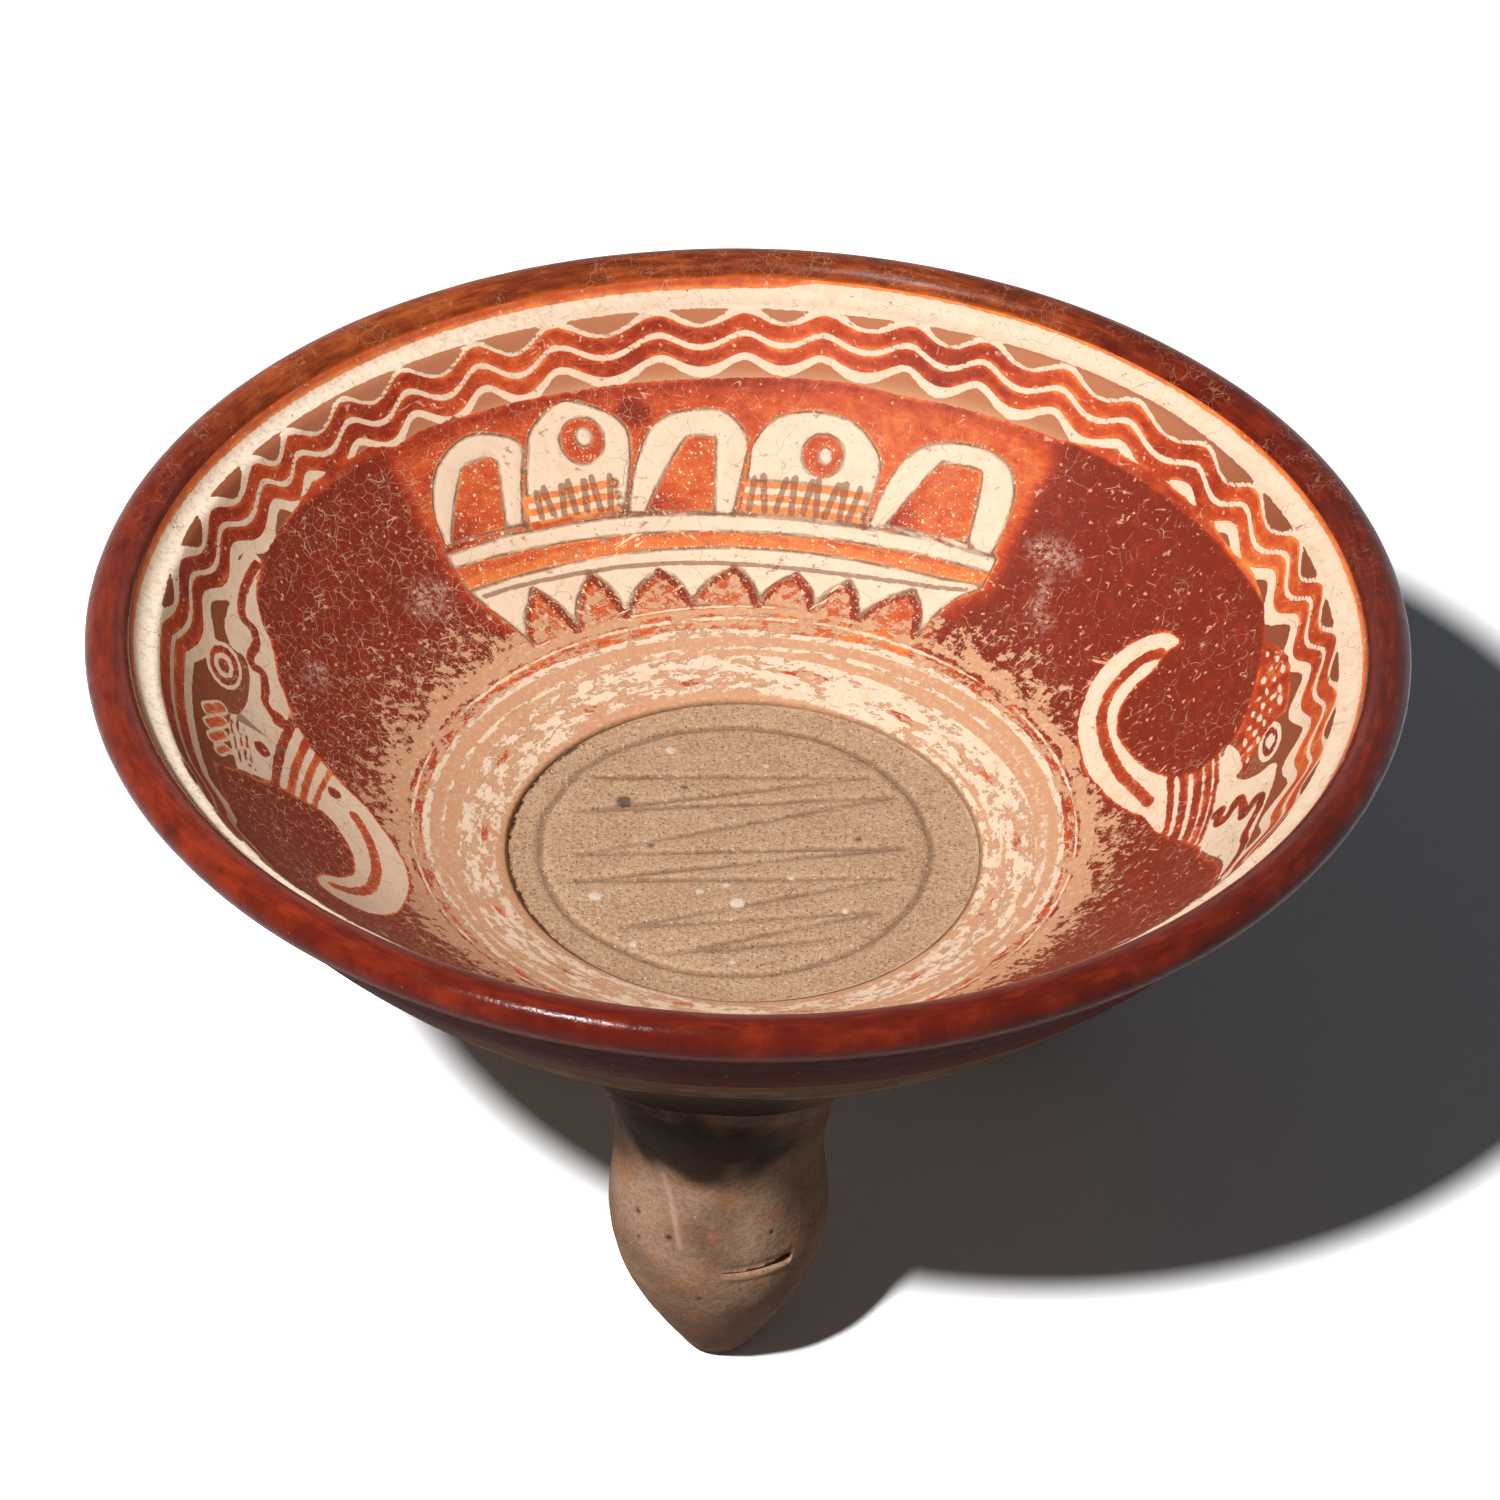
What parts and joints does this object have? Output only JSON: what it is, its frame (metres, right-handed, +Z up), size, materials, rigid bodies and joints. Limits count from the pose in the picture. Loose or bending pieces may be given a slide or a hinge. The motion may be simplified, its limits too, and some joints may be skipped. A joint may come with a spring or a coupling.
{
  "type": "tripod bowl",
  "caption": "Wide painted clay bowl with a round rolled lip and a scored grating floor, on hollow pointed rattle legs",
  "frame": {"origin": "on the ground under the middle of the bowl, the middle of the bottom of its box", "axes": "+Z up; +X to the right and -Y towards the picture's camera, with one leg in front"},
  "size_m": [0.24, 0.24, 0.1242],
  "materials": {
    "polished_lip": "burnished dark red slip, glossy, crazed and chipped",
    "painted_wall": "red, orange and cream slip on buff clay, burnished, scratched and worn",
    "bare_floor_clay": "bare sandy tan clay, matt, scored",
    "leg_clay": "unslipped grey-brown clay, smoothed, smudged by the fire",
    "lute_clay": "unslipped brown clay, smeared by hand",
    "pellet_clay": "unslipped fired clay, rough"
  },
  "bodies": {
    "vessel": {"grater_floor": "bare_floor_clay", "bowl_wall": "painted_wall", "rim_coil": "polished_lip", "leg_front": "leg_clay", "leg_right": "leg_clay", "leg_left": "leg_clay", "lute_front": "lute_clay", "lute_right": "lute_clay", "lute_left": "lute_clay"},
    "pellet_front_1": {"pellet_front_1": "pellet_clay"},
    "pellet_front_2": {"pellet_front_2": "pellet_clay"},
    "pellet_front_3": {"pellet_front_3": "pellet_clay"},
    "pellet_right_1": {"pellet_right_1": "pellet_clay"},
    "pellet_right_2": {"pellet_right_2": "pellet_clay"},
    "pellet_right_3": {"pellet_right_3": "pellet_clay"},
    "pellet_left_1": {"pellet_left_1": "pellet_clay"},
    "pellet_left_2": {"pellet_left_2": "pellet_clay"},
    "pellet_left_3": {"pellet_left_3": "pellet_clay"}
  },
  "joints": [
    {"name": "rattle_front_1", "type": "slide", "parent": "vessel", "child": "pellet_front_1", "axis": [0, 0, 1], "range_m": [0, 0.0455]},
    {"name": "rattle_front_2", "type": "slide", "parent": "vessel", "child": "pellet_front_2", "axis": [0, 0, 1], "range_m": [0, 0.043]},
    {"name": "rattle_front_3", "type": "slide", "parent": "vessel", "child": "pellet_front_3", "axis": [0, 0, 1], "range_m": [0, 0.0455]},
    {"name": "rattle_right_1", "type": "slide", "parent": "vessel", "child": "pellet_right_1", "axis": [0, 0, 1], "range_m": [0, 0.0455]},
    {"name": "rattle_right_2", "type": "slide", "parent": "vessel", "child": "pellet_right_2", "axis": [0, 0, 1], "range_m": [0, 0.043]},
    {"name": "rattle_right_3", "type": "slide", "parent": "vessel", "child": "pellet_right_3", "axis": [0, 0, 1], "range_m": [0, 0.0455]},
    {"name": "rattle_left_1", "type": "slide", "parent": "vessel", "child": "pellet_left_1", "axis": [0, 0, 1], "range_m": [0, 0.0455]},
    {"name": "rattle_left_2", "type": "slide", "parent": "vessel", "child": "pellet_left_2", "axis": [0, 0, 1], "range_m": [0, 0.043]},
    {"name": "rattle_left_3", "type": "slide", "parent": "vessel", "child": "pellet_left_3", "axis": [0, 0, 1], "range_m": [0, 0.0455]}
  ]
}
